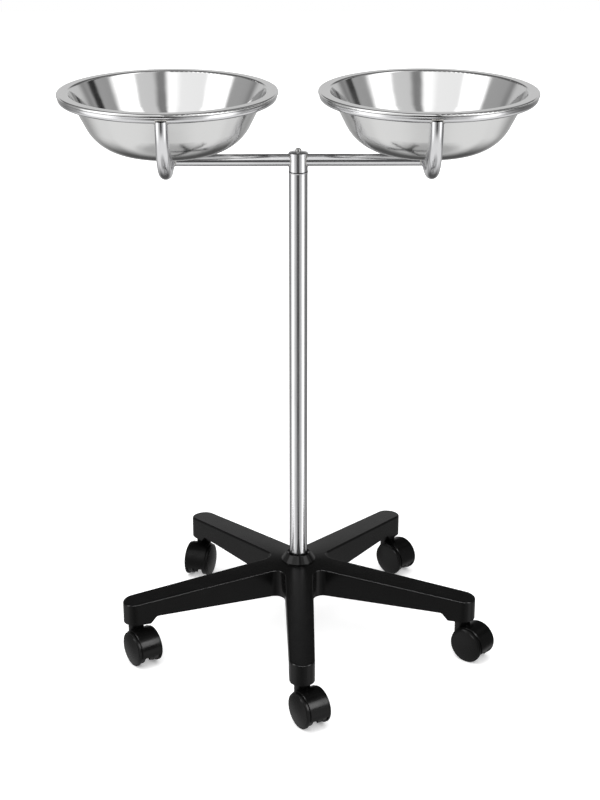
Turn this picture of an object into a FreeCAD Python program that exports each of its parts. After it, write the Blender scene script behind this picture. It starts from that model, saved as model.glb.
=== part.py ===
"""Double basin stand: two lift-out steel basins on a five-arm base with castors.

Millimetres, +Z up, the floor is z = 0.  Every piece is made about the column's
axis, with one arm of the base pointing to the front (-Y), and is then set back
by one value, so that the origin is the middle of the whole object's footprint.
"""
import FreeCAD, Part
import math
import os

Vector = FreeCAD.Vector
UP = Vector(0, 0, 1)
ORIGIN = Vector(0, 0, 0)

# Fits
slip_gap = 0.3          # between faces that lie on each other and move apart
running_gap = 0.05      # radial, between a pin and what turns on it
seat_gap = 0.02         # radial, between a pin and what holds it fast

# Basins
basin_rim_radius = 160.0
basin_rim_height = 881.0
basin_flange = 16.0
basin_depth = 88.0
basin_wall = 1.0
basin_lean = 26.6       # degrees that the side leans from upright
basin_corner_radius = 70.0
basin_shoulder_radius = 3.0
basin_lip_drop = 3.5
basin_lip_radius = 1.6
basin_spacing = 377.0   # from one basin's middle to the other's
basin_clearance = 5.5   # between a basin's floor and the yoke under it

# Head: rings, yokes and crossbars
ring_bar_radius = 6.35
ring_inset = 8.0        # from the basin's edge in to the middle of the ring's bar
yoke_tube_radius = 9.5
yoke_leg_straight = 4.35  # of each leg, between its bend and its end at the ring
yoke_coping = 3.0       # from the middle of the ring's bar down to the end of a yoke's leg
crossbar_tube_radius = 9.0
head_tube_wall = 1.5

# Column and what joins the head to it
column_radius = 14.0
column_wall = 1.5
seam_drop = 16.7        # from the middle of the crossbars down to the seam
spigot_length = 56.0
spigot_bevel = 1.0
cap_height_over_bars = 1.0  # from the crossbars' tops up to the cap's underside
cap_overhang = 0.2
cap_rise = 1.6
cap_fullness = 0.72    # of the rise that is reached halfway in from the rim
cap_thickness = 1.2
cap_plug_length = 4.0
cap_screw_radius = 2.5
cap_screw_length = 22.0
cap_screw_head_radius = 4.2
cap_screw_head_height = 4.2
cap_screw_bevel = 0.6
cap_screw_socket = 4.0  # across the flats

# Star base
arm_count = 5
base_turn = 0.6         # degrees that the base stands turned under the head
stem_circle_radius = 269.5
tip_radius = 19.0
hub_half_width = 23.0
hub_blend_radius = 16.0
boss_clearance = 7.5    # from the top of a castor's hood up to the boss over it
boss_drop = 11.0        # from an arm's lower edge at the tip down to the boss's face
underside_rise = 5.0    # of the arms' lower edges, from the tips to the hub
arm_depth_tip = 25.0    # from an arm's lower edge to its top
arm_depth_hub = 47.0
boss_step_run = 10.0
boss_step_radius = 6.0
top_edge_radius = 2.6
base_wall = 3.6
rib_thickness = 2.6
rib_recess = 5.0
cross_rib_pitch = 38.0
cross_rib_count = 4
hub_socket_wall = 5.0
hub_socket_floor = 6.0
hub_floor_lift = 1.0    # from the arms' lower edges up to the hub's floor
stem_socket_wall = 3.4
stem_socket_spare = 0.5  # depth over the stem's end

# Collar round the column's foot
collar_height = 13.0
collar_foot_radius = 26.8
collar_top_radius = 18.6
collar_funnel = 2.5
collar_skirt = 1.5      # upright part at the foot
collar_bevel = 0.8

# Bolt that holds the column down
bolt_radius = 5.0
bolt_length = 26.0
bolt_head_flats = 16.0
bolt_head_height = 6.4
washer_radius = 12.0
washer_thickness = 2.0
washer_room = 3.0       # radial, in the well under the hub's floor
foot_plug_length = 30.0

# Castors
wheel_radius = 27.5
castor_width = 46.5
castor_trail = 20.0
hood_proud = 1.5        # of the hood's outside over the wheels' treads
hood_wall = 2.4
hood_width = 33.0
hood_drop = 13.0        # degrees below level that the hood wraps to behind the wheels
hood_front = 12.0       # degrees below level that it wraps to in front
hood_edge_bevel = 0.8
wheel_gap = 18.0        # between the two wheels' inner faces
wheel_wall = 2.4
wheel_dome = 2.2
wheel_shoulder = 3.8      # from the disc's middle back to where the tread begins
wheel_edge_step = 2.0     # from the tread in to the disc's outer edge
wheel_disc_inset = 3.5    # from the tread in to the domed part of the disc
wheel_groove = 0.6
drum_gap = 1.0          # from the hood's inside to the part of the wheel that runs in it
side_gap = 0.5          # from the hood's edge to the wheel's shoulder
web_thickness = 6.0
nub_drop = 16.0         # degrees that the web hangs below the hood's edge
axle_radius = 3.0
axle_inset = 3.4        # from the wheel's outer face to the end of the axle
axle_boss_radius = 7.0
housing_radius = 12.0
stem_radius = 5.5
stem_wall = 2.0
stem_shoulder_radius = 8.0
stem_shoulder_height = 2.2
stem_grip_length = 22.0
stem_foot_height = 31.0
stem_bevel = 1.1
grip_groove_depth = 1.3
grip_ring_height = 6.0
grip_ring_from_top = 4.0
grip_ring_slot = 2.0

# Where each castor stands (number of arms round from the front one) and the way
# that its wheels trail, in degrees from +X
castor_places = {
    "front": (0, -57.0),
    "front_right": (1, -39.0),
    "back_right": (2, -45.0),
    "back_left": (3, -107.0),
    "front_left": (4, -56.0),
}


def arm_angle(number):
    """Direction of an arm in degrees from +X, counted from the front arm."""
    return -90.0 + base_turn + number * 360.0 / arm_count


def footprint_reach(names, side):
    """How far the castors with these names reach along Y; side is -1 front, 1 back."""
    reaches = []
    for name in names:
        number, swivel = castor_places[name]
        trail = math.radians(swivel)
        wheel_y = stem_circle_radius * math.sin(math.radians(arm_angle(number)))
        wheel_y += castor_trail * math.sin(trail)
        half = wheel_radius * abs(math.sin(trail)) + castor_width / 2 * abs(math.cos(trail))
        reaches.append(side * wheel_y + half)
    return max(reaches)


front_reach = footprint_reach(["front"], -1)
back_reach = footprint_reach(["back_right", "back_left"], 1)
set_back = (front_reach - back_reach) / 2

# Heights and radii that follow from the sizes above
basin_flange_height = basin_rim_height - basin_wall
ring_radius = basin_rim_radius - ring_inset
ring_height = basin_flange_height - slip_gap - ring_bar_radius
basin_floor_height = basin_rim_height - basin_depth
crossbar_height = basin_floor_height - basin_clearance - yoke_tube_radius
yoke_leg_top = ring_height - yoke_coping
yoke_bend_radius = yoke_leg_top - yoke_leg_straight - crossbar_height
column_seam_height = crossbar_height - seam_drop
crossbar_top = crossbar_height + crossbar_tube_radius
head_cap_height = crossbar_top + cap_height_over_bars
spigot_top = head_cap_height - cap_plug_length
tube_bore = column_radius - column_wall
axle_height = wheel_radius
hood_radius = wheel_radius + hood_proud
boss_height = axle_height + hood_radius + boss_clearance
arm_underside_tip_height = boss_height + boss_drop
arm_underside_hub_height = arm_underside_tip_height + underside_rise
arm_tip_top_height = arm_underside_tip_height + arm_depth_tip
hub_top_height = arm_underside_hub_height + arm_depth_hub
roof_slope = (hub_top_height - arm_tip_top_height) / (stem_circle_radius - collar_foot_radius)
underside_slope = (arm_underside_hub_height - arm_underside_tip_height) / stem_circle_radius
hub_floor_height = arm_underside_hub_height + hub_floor_lift
column_foot_height = hub_floor_height + hub_socket_floor
hub_bore = column_radius + seat_gap
hub_socket_radius = hub_bore + hub_socket_wall
base_reach = stem_circle_radius + tip_radius
hood_bore = hood_radius - hood_wall
drum_radius = hood_bore - drum_gap
wheel_face = castor_width / 2
wheel_disc_radius = wheel_radius - wheel_disc_inset
housing_top = boss_height - stem_shoulder_height - slip_gap
stem_top = boss_height + stem_grip_length
stem_socket_radius = stem_radius + seat_gap + stem_socket_wall


def at(radius, height):
    """Point of an upright profile: a distance out from the axis and a height."""
    return Vector(radius, 0, height)


def rounded_edges(corners, closed=True):
    """Straight runs through (point, radius) corners, each corner turned by a tangent arc.

    A negative radius is a flat bevel that takes that much off each run.
    """
    count = len(corners)
    arcs = []
    for index, (point, radius) in enumerate(corners):
        ends = not closed and index in (0, count - 1)
        if radius == 0 or ends:
            arcs.append((point, None, point))
            continue
        back = (corners[index - 1][0] - point).normalize()
        ahead = (corners[(index + 1) % count][0] - point).normalize()
        if radius < 0:
            arcs.append((point - back * radius, None, point - ahead * radius))
            continue
        half = back.getAngle(ahead) / 2
        inward = (back + ahead).normalize()
        reach = radius / math.tan(half)
        middle = point + inward * (radius / math.sin(half) - radius)
        arcs.append((point + back * reach, middle, point + ahead * reach))
    edges = []
    for index, (start, middle, end) in enumerate(arcs):
        if closed or index > 0:
            before = arcs[index - 1][2]
            if before.distanceToPoint(start) > 1e-6:
                edges.append(Part.LineSegment(before, start).toShape())
        if middle is not None:
            edges.append(Part.Arc(start, middle, end).toShape())
        elif start.distanceToPoint(end) > 1e-6:
            edges.append(Part.LineSegment(start, end).toShape())
    return edges


def rounded_face(corners):
    """Flat face inside a closed line with rounded corners."""
    return Part.Face(Part.Wire(Part.__sortEdges__(rounded_edges(corners))))


def turned(corners, angle=360.0):
    """Solid turned about the upright axis from a profile of (radius, height, corner) rows."""
    face = rounded_face([(at(radius, height), corner) for radius, height, corner in corners])
    return face.revolve(ORIGIN, UP, angle)


def even_wall(line, wall):
    """Closed corners of a wall: a line of (point, radius) and its copy, wall to its left."""
    copy = []
    for index, (point, radius) in enumerate(line):
        before = line[max(index - 1, 0)][0]
        after = line[min(index + 1, len(line) - 1)][0]
        run_in = (point - before) if index > 0 else (after - point)
        run_out = (after - point) if index < len(line) - 1 else run_in
        left_in = Vector(-run_in.z, 0, run_in.x).normalize()
        left_out = Vector(-run_out.z, 0, run_out.x).normalize()
        mitre = (left_in + left_out) * (1 / (1 + left_in.dot(left_out)))
        turns_left = run_in.x * run_out.z - run_in.z * run_out.x > 0
        bend = radius - wall if turns_left else radius + wall
        copy.append((point + mitre * wall, bend if radius > 0 else 0))
    return line + copy[::-1]


def cylinder(radius, height, base=ORIGIN, direction=UP):
    """Round bar from a base point."""
    return Part.makeCylinder(radius, height, base, direction)


def hexagon_prism(flats, height, base):
    """Six-sided bar with the given width across flats."""
    corner = flats / math.sqrt(3)
    points = []
    for side in range(7):
        turn = math.radians(60 * side)
        points.append(base + Vector(corner * math.cos(turn), corner * math.sin(turn), 0))
    return Part.Face(Part.makePolygon(points)).extrude(Vector(0, 0, height))


def pipe(edges, radius):
    """Round bar along a path of lines and tangent arcs."""
    path = Part.Wire(edges)
    start = edges[0].valueAt(edges[0].FirstParameter)
    heading = edges[0].tangentAt(edges[0].FirstParameter)
    section = Part.Wire(Part.makeCircle(radius, start, heading))
    return path.makePipeShell([section], True, False)


# Basins and head


def basin(centre_x):
    """Spun bowl: flat floor, wide corner, leaning side, flat flange and turned-down lip."""
    throat = basin_rim_radius - basin_flange
    rise = basin_flange_height - basin_floor_height
    corner = throat - rise * math.tan(math.radians(basin_lean))
    edge = basin_rim_radius - basin_wall
    line = [
        (at(0, basin_floor_height), 0),
        (at(corner, basin_floor_height), basin_corner_radius),
        (at(throat, basin_flange_height), basin_shoulder_radius),
        (at(edge, basin_flange_height), basin_lip_radius),
        (at(edge, basin_rim_height - basin_lip_drop), 0),
    ]
    bowl = rounded_face(even_wall(line, basin_wall)).revolve(ORIGIN, UP, 360)
    return bowl.translated(Vector(centre_x, 0, 0))


def ring(centre_x):
    """Round-bar ring that the basin's flange lies on."""
    return Part.makeTorus(ring_radius, ring_bar_radius, Vector(centre_x, 0, ring_height), UP)


def yoke_path(centre_x):
    """Front leg, run under the basin and back leg, joined by two wide bends."""
    corners = [
        (Vector(centre_x, -ring_radius, yoke_leg_top), 0),
        (Vector(centre_x, -ring_radius, crossbar_height), yoke_bend_radius),
        (Vector(centre_x, ring_radius, crossbar_height), yoke_bend_radius),
        (Vector(centre_x, ring_radius, yoke_leg_top), 0),
    ]
    return rounded_edges(corners, closed=False)


def yoke(centre_x):
    """U-bent tube whose legs are coped to the ring's bar."""
    path = yoke_path(centre_x)
    tube = pipe(path, yoke_tube_radius).cut(pipe(path, yoke_tube_radius - head_tube_wall))
    return tube.cut(ring(centre_x))


def crossbar(centre_x):
    """Tube from the head sleeve out to a yoke, saddle-cut at both ends."""
    side = math.copysign(1, centre_x)
    start = Vector(0, 0, crossbar_height)
    outward = Vector(side, 0, 0)
    tube = cylinder(crossbar_tube_radius, abs(centre_x), start, outward)
    tube = tube.cut(cylinder(crossbar_tube_radius - head_tube_wall, abs(centre_x), start, outward))
    column_cut = cylinder(column_radius, 2 * crossbar_height)
    yoke_start = Vector(centre_x, -ring_radius, crossbar_height)
    yoke_cut = cylinder(yoke_tube_radius, 2 * ring_radius, yoke_start, Vector(0, 1, 0))
    return tube.cut(column_cut).cut(yoke_cut)


def head_sleeve():
    """Short tube that carries both crossbars."""
    height = head_cap_height - column_seam_height
    base = Vector(0, 0, column_seam_height)
    return cylinder(column_radius, height, base).cut(cylinder(tube_bore, height, base))


def head_cap():
    """Low domed disc with a short plug that centres it in the sleeve."""
    rim = column_radius + cap_overhang
    plug = tube_bore - seat_gap
    top = head_cap_height + cap_thickness
    profile = [
        at(cap_screw_radius + seat_gap, spigot_top),
        at(plug, spigot_top),
        at(plug, head_cap_height),
        at(rim, head_cap_height),
        at(rim, top),
    ]
    crown_inner = at(cap_screw_radius + seat_gap, top + cap_rise)
    seat_edge = at(cap_screw_head_radius, top + cap_rise)
    bulge = at((rim + cap_screw_head_radius) / 2, top + cap_rise * cap_fullness)
    edges = [Part.LineSegment(a, b).toShape() for a, b in zip(profile, profile[1:])]
    edges.append(Part.Arc(profile[-1], bulge, seat_edge).toShape())
    edges.append(Part.LineSegment(seat_edge, crown_inner).toShape())
    edges.append(Part.LineSegment(crown_inner, profile[0]).toShape())
    return Part.Face(Part.Wire(edges)).revolve(ORIGIN, UP, 360)


def cap_screw():
    """Socket-head screw through the cap into the spigot."""
    seat = head_cap_height + cap_thickness + cap_rise
    head = turned([
        (0, seat, 0),
        (cap_screw_head_radius, seat, 0),
        (cap_screw_head_radius, seat + cap_screw_head_height, -cap_screw_bevel),
        (0, seat + cap_screw_head_height, 0),
    ])
    shank = cylinder(cap_screw_radius, cap_screw_length, Vector(0, 0, seat - cap_screw_length))
    socket_depth = cap_screw_head_height / 2
    socket = hexagon_prism(cap_screw_socket, socket_depth, Vector(0, 0, seat + socket_depth))
    return head.fuse(shank).removeSplitter().cut(socket)


# Column


def column():
    """Upright tube from the hub's socket to the seam under the head."""
    base = Vector(0, 0, column_foot_height)
    height = column_seam_height - column_foot_height
    return cylinder(column_radius, height, base).cut(cylinder(tube_bore, height, base))


def column_spigot():
    """Solid plug across the seam, tapped for the cap screw."""
    base = Vector(0, 0, spigot_top - spigot_length)
    radius = tube_bore - seat_gap
    plug = turned([
        (0, base.z, 0),
        (radius, base.z, -spigot_bevel),
        (radius, base.z + spigot_length, -spigot_bevel),
        (0, base.z + spigot_length, 0),
    ])
    return plug.cut(cylinder(cap_screw_radius + seat_gap, spigot_length, base))


def foot_plug():
    """Plug in the column's foot, tapped for the base bolt."""
    base = Vector(0, 0, column_foot_height)
    plug = cylinder(tube_bore - seat_gap, foot_plug_length, base)
    return plug.cut(cylinder(bolt_radius + seat_gap, foot_plug_length, base))


def column_collar():
    """Cone round the column where it enters the hub, funnelled at its mouth."""
    bore = column_radius + seat_gap
    top = hub_top_height + collar_height
    return turned([
        (bore, hub_top_height, 0),
        (collar_foot_radius, hub_top_height, 0),
        (collar_foot_radius, hub_top_height + collar_skirt, 0),
        (collar_top_radius, top, -collar_bevel),
        (bore, top - collar_funnel, 0),
    ])


def base_bolt():
    """Hexagon bolt from under the hub's floor up into the foot plug."""
    head_base = hub_floor_height - washer_thickness - bolt_head_height
    head = hexagon_prism(bolt_head_flats, bolt_head_height, Vector(0, 0, head_base))
    shank = cylinder(bolt_radius, bolt_length, Vector(0, 0, head_base + bolt_head_height))
    return head.fuse(shank)


def base_washer():
    """Washer between the bolt's head and the hub's floor."""
    base = Vector(0, 0, hub_floor_height - washer_thickness)
    disc = cylinder(washer_radius, washer_thickness, base)
    return disc.cut(cylinder(bolt_radius + seat_gap, washer_thickness, base))


# Star base


def star_outline(inset):
    """Plan of the star, drawn in by an inset: round tips, tapered arms and hub blends."""
    tip = tip_radius - inset
    hub = hub_half_width - inset
    taper = math.asin((hub - tip) / stem_circle_radius)
    half_step = math.pi / arm_count
    valley = hub / math.sin(half_step + taper)
    blend = hub_blend_radius + inset
    corner_reach = blend / math.tan(half_step + taper)
    edges = []
    last = None
    for number in range(arm_count):
        along = math.radians(arm_angle(number))

        def place(out, across, turn=along):
            return Vector(
                out * math.cos(turn) - across * math.sin(turn),
                out * math.sin(turn) + across * math.cos(turn),
                0,
            )

        valley_out = valley * math.cos(half_step) + corner_reach * math.cos(taper)
        valley_across = valley * math.sin(half_step) - corner_reach * math.sin(taper)
        tip_out = stem_circle_radius + tip * math.sin(taper)
        tip_across = tip * math.cos(taper)
        right = [place(valley_out, -valley_across), place(tip_out, -tip_across)]
        left = [place(tip_out, tip_across), place(valley_out, valley_across)]
        if last is not None:
            edges.append(valley_arc(last, right[0], along - half_step, valley, blend, taper))
        edges.append(Part.LineSegment(right[0], right[1]).toShape())
        edges.append(Part.Arc(right[1], place(stem_circle_radius + tip, 0), left[0]).toShape())
        edges.append(Part.LineSegment(left[0], left[1]).toShape())
        last = left[1]
    first = edges[0].valueAt(edges[0].FirstParameter)
    closing = math.radians(arm_angle(0)) - half_step
    edges.append(valley_arc(last, first, closing, valley, blend, taper))
    return Part.Face(Part.Wire(edges))


def valley_arc(start, end, direction, valley, radius, taper):
    """Arc that blends the sides of two neighbouring arms at the hub."""
    half_step = math.pi / arm_count
    out = valley + radius / math.sin(half_step + taper) - radius
    middle = Vector(out * math.cos(direction), out * math.sin(direction), 0)
    return Part.Arc(start, middle, end).toShape()


def roof_height(radius):
    """Height of the arms' top faces, which fall evenly from the collar to the tips."""
    return hub_top_height - roof_slope * max(radius - collar_foot_radius, 0)


def underside_height(radius):
    """Height of the arms' lower edges between the hub and the castor bosses."""
    return arm_underside_hub_height - underside_slope * radius


def star_body():
    """Outside of the moulding: the plan carried upright, with a turned roof and underside."""
    beyond = base_reach + tip_radius
    boss_edge = stem_circle_radius - tip_radius
    step_start = boss_edge - boss_step_run
    turned_space = turned([
        (0, arm_underside_hub_height, 0),
        (step_start, underside_height(step_start), boss_step_radius),
        (boss_edge, boss_height, 0),
        (beyond, boss_height, 0),
        (beyond, roof_height(beyond), 0),
        (collar_foot_radius, hub_top_height, 0),
        (0, hub_top_height, 0),
    ])
    prism = star_outline(0).extrude(Vector(0, 0, 2 * hub_top_height))
    body = prism.common(turned_space)
    rim = [edge for edge in body.Edges if on_roof_edge(edge)]
    return body.makeFillet(top_edge_radius, rim)


def on_roof_edge(edge):
    """True for an edge where an upright side meets the roof."""
    middle = edge.valueAt((edge.FirstParameter + edge.LastParameter) / 2)
    radius = math.hypot(middle.x, middle.y)
    return radius > collar_foot_radius + 1 and abs(middle.z - roof_height(radius)) < 0.5


def star_ribs():
    """Lengthwise and crosswise ribs, socket walls and hub wall that stand in the hollow."""
    rib_foot = arm_underside_hub_height + rib_recess
    pieces = [cylinder(hub_socket_radius, hub_top_height, Vector(0, 0, hub_floor_height))]
    for number in range(arm_count):
        long_rib = Part.makeBox(
            stem_circle_radius, rib_thickness, hub_top_height, Vector(0, -rib_thickness / 2, rib_foot)
        )
        socket_wall = cylinder(stem_socket_radius, hub_top_height, Vector(stem_circle_radius, 0, 0))
        arm_pieces = [long_rib, socket_wall]
        for step in range(cross_rib_count):
            out = stem_circle_radius - tip_radius - boss_step_run - step * cross_rib_pitch
            cross_rib = Part.makeBox(
                rib_thickness, 2 * hub_half_width, hub_top_height, Vector(out, -hub_half_width, rib_foot)
            )
            arm_pieces.append(cross_rib)
        for piece in arm_pieces:
            pieces.append(piece.rotated(ORIGIN, UP, arm_angle(number)))
    return pieces


def star_hollow():
    """Space inside the moulding's walls, open downwards, without what stands in it."""
    beyond = base_reach + tip_radius
    space = turned([
        (0, 0, 0),
        (beyond, 0, 0),
        (beyond, roof_height(beyond) - base_wall, 0),
        (collar_foot_radius, hub_top_height - base_wall, 0),
        (0, hub_top_height - base_wall, 0),
    ])
    prism = star_outline(base_wall).extrude(Vector(0, 0, 2 * hub_top_height))
    hollow = prism.common(space)
    ribs = star_ribs()
    bolt_well = cylinder(washer_radius + washer_room, hub_floor_height)
    return hollow.cut(ribs[0].multiFuse(ribs[1:])).fuse(bolt_well)


def base_star():
    """Five-arm moulding with its column socket and castor sockets."""
    star = star_body().cut(star_hollow())
    bores = [cylinder(hub_bore, hub_top_height, Vector(0, 0, column_foot_height))]
    bores.append(cylinder(bolt_radius + seat_gap, hub_top_height))
    for number in range(arm_count):
        mouth = Vector(stem_circle_radius, 0, boss_height)
        socket = cylinder(stem_radius + seat_gap, stem_grip_length + stem_socket_spare, mouth)
        bores.append(socket.rotated(ORIGIN, UP, arm_angle(number)))
    star = star.cut(bores[0].multiFuse(bores[1:]))
    return star.removeSplitter()


# Castors, made with the stem upright at the origin and the wheels trailing along +X


def about_axle(corners, start=0.0, sweep=360.0):
    """Solid turned about the axle from (radius, distance along the axle, corner) rows."""
    face = rounded_face([(Vector(radius, along, 0), corner) for radius, along, corner in corners])
    solid = face.revolve(ORIGIN, Vector(0, -1, 0), sweep)
    solid = solid.rotated(ORIGIN, Vector(0, -1, 0), start)
    return solid.translated(Vector(castor_trail, 0, axle_height))


def bar_section(radius, half):
    """Rows of a plain round bar about the axle, half its length to each side."""
    return [(0, -half, 0), (radius, -half, 0), (radius, half, 0), (0, half, 0)]


def along_axle(radius, length):
    """Round bar on the axle's line, centred between the wheels."""
    return cylinder(radius, length, Vector(castor_trail, -length / 2, axle_height), Vector(0, 1, 0))


def castor_hood():
    """Curved cover between the wheels' shoulders, from behind them over to the front."""
    half = hood_width / 2
    section = [
        (hood_bore, -half, 0.0),
        (hood_radius, -half, -hood_edge_bevel),
        (hood_radius, half, -hood_edge_bevel),
        (hood_bore, half, 0.0),
    ]
    return about_axle(section, -hood_drop, hood_drop + 180 + hood_front)


def castor_web():
    """Plate between the wheels that joins hood, housing and axle boss."""
    half = web_thickness / 2
    rim = hood_bore + hood_wall / 2
    start = -hood_drop - nub_drop
    plate = about_axle(bar_section(rim, half), start, 180 + hood_front - start)
    return plate.fuse(about_axle(bar_section(axle_boss_radius, wheel_gap / 2 - side_gap)))


def castor_housing():
    """Upright housing for the stem, cut clear of the wheels but for its core between them."""
    foot = axle_height - hood_radius * math.sin(math.radians(hood_front))
    shell = cylinder(housing_radius, housing_top - foot, Vector(0, 0, foot))
    wheel_space = along_axle(hood_bore, castor_width)
    core_foot = stem_foot_height - stem_wall
    core_radius = stem_radius + running_gap + stem_wall
    core = cylinder(core_radius, housing_top - core_foot, Vector(0, 0, core_foot))
    return shell.cut(wheel_space).fuse(core)


def castor_body():
    """Hood, web, axle boss and stem housing, as one moulding."""
    body = castor_hood().fuse(castor_web()).fuse(castor_housing())
    stem_bore = cylinder(stem_radius + running_gap, housing_top, Vector(0, 0, stem_foot_height))
    axle_bore = along_axle(axle_radius + seat_gap, castor_width)
    return body.cut(stem_bore).cut(axle_bore).removeSplitter()


def castor_wheel(side):
    """Cup-shaped wheel: domed disc, rounded shoulder and a drum that runs in the hood."""
    shoulder = hood_width / 2 + side_gap
    inner = wheel_gap / 2
    bore = axle_radius + running_gap
    axle_end = wheel_face - axle_inset
    floor = wheel_face - wheel_dome - wheel_wall
    crown = Vector(0, wheel_face, 0)
    disc_edge = Vector(wheel_disc_radius, wheel_face - wheel_dome, 0)
    bulge_out = wheel_disc_radius / 2
    bulge = Vector(bulge_out, wheel_face - wheel_dome * (bulge_out / wheel_disc_radius) ** 2, 0)
    rows = [
        (wheel_disc_radius, wheel_face - wheel_dome),
        (wheel_disc_radius + wheel_groove, wheel_face - wheel_dome - wheel_groove),
        (wheel_radius - wheel_edge_step, wheel_face - wheel_dome - wheel_groove),
        (wheel_radius, wheel_face - wheel_shoulder),
        (wheel_radius, shoulder),
        (drum_radius, shoulder),
        (drum_radius, inner),
        (drum_radius - wheel_wall, inner),
        (drum_radius - wheel_wall, floor),
        (axle_boss_radius, floor),
        (axle_boss_radius, inner),
        (bore, inner),
        (bore, axle_end + running_gap),
        (0, axle_end + running_gap),
    ]
    points = [Vector(radius, along, 0) for radius, along in rows]
    edges = [Part.Arc(crown, bulge, disc_edge).toShape()]
    edges += [Part.LineSegment(a, b).toShape() for a, b in zip(points, points[1:])]
    edges.append(Part.LineSegment(points[-1], crown).toShape())
    wheel = Part.Face(Part.Wire(edges)).revolve(ORIGIN, Vector(0, 1, 0), 360)
    if side < 0:
        wheel = wheel.rotated(ORIGIN, UP, 180)
    return wheel.translated(Vector(castor_trail, 0, axle_height))


def castor_axle():
    """Plain pin through the body, with a wheel on each end."""
    return along_axle(axle_radius, castor_width - 2 * axle_inset)


def castor_stem():
    """Pin with a shoulder that stands under the boss and a groove for the grip ring."""
    groove_base = stem_top - grip_ring_from_top - grip_ring_height
    groove = stem_radius - grip_groove_depth
    return turned([
        (0, stem_foot_height + slip_gap, 0),
        (stem_radius, stem_foot_height + slip_gap, -stem_bevel),
        (stem_radius, boss_height - stem_shoulder_height, 0),
        (stem_shoulder_radius, boss_height - stem_shoulder_height, 0),
        (stem_shoulder_radius, boss_height, 0),
        (stem_radius, boss_height, 0),
        (stem_radius, groove_base, 0),
        (groove, groove_base, 0),
        (groove, groove_base + grip_ring_height, 0),
        (stem_radius, groove_base + grip_ring_height, 0),
        (stem_radius, stem_top, -stem_bevel),
        (0, stem_top, 0),
    ])


def grip_ring():
    """Split spring ring in the stem's groove, which grips the socket."""
    groove_base = stem_top - grip_ring_from_top - grip_ring_height
    height = grip_ring_height - 2 * seat_gap
    base = Vector(0, 0, groove_base + seat_gap)
    sleeve = cylinder(stem_radius, height, base)
    sleeve = sleeve.cut(cylinder(stem_radius - grip_groove_depth + seat_gap, height, base))
    slot = Part.makeBox(2 * stem_radius, grip_ring_slot, height, base - Vector(0, grip_ring_slot / 2, 0))
    return sleeve.cut(slot)


def castor_pieces(name):
    """Node names and shapes of one castor, turned the way it trails and set under its boss."""
    number, swivel = castor_places[name]
    along = math.radians(arm_angle(number))
    place = Vector(stem_circle_radius * math.cos(along), stem_circle_radius * math.sin(along), 0)
    shapes = {
        "castor_body": castor_body(),
        "castor_axle": castor_axle(),
        "wheel_left": castor_wheel(1),
        "wheel_right": castor_wheel(-1),
        "stem": castor_stem(),
        "grip_ring": grip_ring(),
    }
    return {
        f"{piece}_{name}": shape.rotated(ORIGIN, UP, swivel).translated(place)
        for piece, shape in shapes.items()
    }


def all_pieces():
    """Every node of the stand, about the column's axis."""
    side = basin_spacing / 2
    pieces = {
        "base_star": base_star(),
        "column_collar": column_collar(),
        "column": column(),
        "column_foot_plug": foot_plug(),
        "column_spigot": column_spigot(),
        "base_bolt": base_bolt(),
        "base_washer": base_washer(),
        "head_sleeve": head_sleeve(),
        "head_cap": head_cap(),
        "cap_screw": cap_screw(),
    }
    for name, centre_x in (("left", -side), ("right", side)):
        pieces[f"crossbar_{name}"] = crossbar(centre_x)
        pieces[f"yoke_{name}"] = yoke(centre_x)
        pieces[f"ring_{name}"] = ring(centre_x)
        pieces[f"basin_{name}"] = basin(centre_x)
    for name in castor_places:
        pieces.update(castor_pieces(name))
    return pieces


def write_pieces():
    """One STEP file per node, set back so that the origin is the footprint's middle."""
    os.makedirs("parts", exist_ok=True)
    for node, shape in all_pieces().items():
        shape.translated(Vector(0, set_back, 0)).exportStep(f"parts/{node}.step")
    print("column axis set back by", round(set_back, 3))


write_pieces()
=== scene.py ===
# %% [markdown]
# # A double basin stand, finished in Blender
# The stand is already built and jointed: two steel basins lie in rings on a T-shaped
# head, and one column stands on a five-arm base with castors. This lesson gives every
# surface its finish, adds the weld beads that hold the head together, and sets up a
# white studio in which polished steel reads as steel. First the frame is loaded.

# %% The frame
import math

import bpy
import numpy as np
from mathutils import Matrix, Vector


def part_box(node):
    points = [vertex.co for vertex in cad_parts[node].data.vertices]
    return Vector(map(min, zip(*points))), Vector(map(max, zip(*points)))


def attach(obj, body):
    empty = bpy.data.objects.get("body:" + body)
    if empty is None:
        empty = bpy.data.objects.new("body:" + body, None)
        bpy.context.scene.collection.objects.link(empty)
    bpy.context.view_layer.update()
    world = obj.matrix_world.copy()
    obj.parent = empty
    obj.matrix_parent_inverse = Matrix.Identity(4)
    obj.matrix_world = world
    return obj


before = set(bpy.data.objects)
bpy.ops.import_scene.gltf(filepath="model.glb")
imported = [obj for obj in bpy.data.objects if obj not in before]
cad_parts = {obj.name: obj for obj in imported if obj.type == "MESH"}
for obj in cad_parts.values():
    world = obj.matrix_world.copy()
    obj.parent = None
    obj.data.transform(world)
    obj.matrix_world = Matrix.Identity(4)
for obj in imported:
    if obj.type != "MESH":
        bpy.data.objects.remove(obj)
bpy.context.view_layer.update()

# %% [markdown]
# ## Where things are
# A tube's line, a basin's middle and a bar's thickness all come from the boxes of the
# nodes. They could be typed in from a drawing, but then two lists of sizes would have to
# agree; this way the finish still fits if the stand changes.

# %% Places read from the nodes


def middle(node):
    """Middle of a node's box: half way between its lowest and its highest corner."""
    low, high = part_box(node)
    return (low + high) / 2


def extent(node):
    """Size of a node's box along x, y and z."""
    low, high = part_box(node)
    return high - low


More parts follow.
